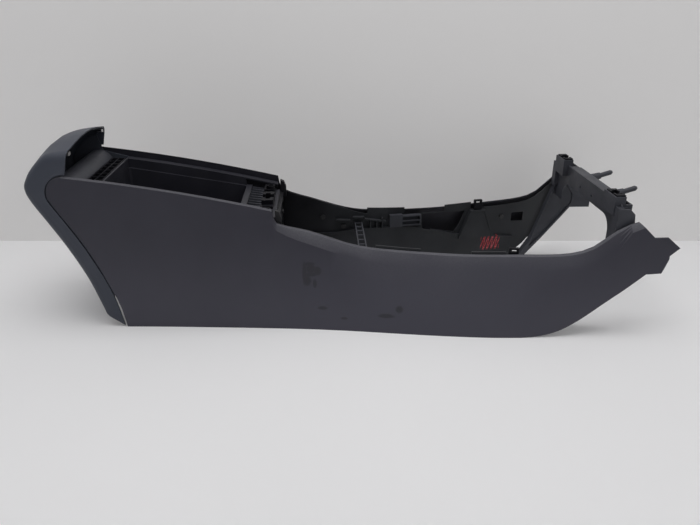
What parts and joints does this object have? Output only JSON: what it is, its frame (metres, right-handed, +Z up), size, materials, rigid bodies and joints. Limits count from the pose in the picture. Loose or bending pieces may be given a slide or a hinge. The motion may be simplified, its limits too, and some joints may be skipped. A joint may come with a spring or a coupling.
{
  "type": "car center console",
  "caption": "Long floor console shell for a car with side panels, rear cap, storage bin, open inner frame and a front bridge with locating pins.",
  "frame": {"origin": "middle of the bounding box at the surface the console stands on", "axes": "+X forward along the console towards the front bridge, +Y to the left side, +Z up"},
  "size_m": [1.0463, 0.3442, 0.3196],
  "materials": {
    "panel_plastic": "fine moulded grain, satin",
    "cap_plastic": "fine moulded grain, bluish grey",
    "frame_plastic": "plain moulded, slightly dusty",
    "black_plastic": "plain moulded black",
    "steel": "zinc plated"
  },
  "bodies": {
    "root": {"right_side_panel": "panel_plastic", "left_side_panel": "panel_plastic", "rear_cap": "cap_plastic", "rear_carrier": "black_plastic", "hinge_cover": "frame_plastic", "hinge_mount": "black_plastic", "storage_bin": "black_plastic", "rib_plate": "frame_plastic", "latch_block": "black_plastic", "right_stop_bracket": "black_plastic", "left_stop_bracket": "black_plastic", "inner_frame": "frame_plastic", "cross_brace": "frame_plastic", "right_slot_guide": "frame_plastic", "left_slot_guide": "frame_plastic", "right_rail_clip": "black_plastic", "left_rail_clip": "black_plastic", "right_bridge_clip": "black_plastic", "left_bridge_clip": "black_plastic", "cap_clips": "steel", "hinge_screws": "steel", "bin_screws": "steel", "frame_screws": "steel", "panel_screws": "steel"}
  },
  "joints": []
}
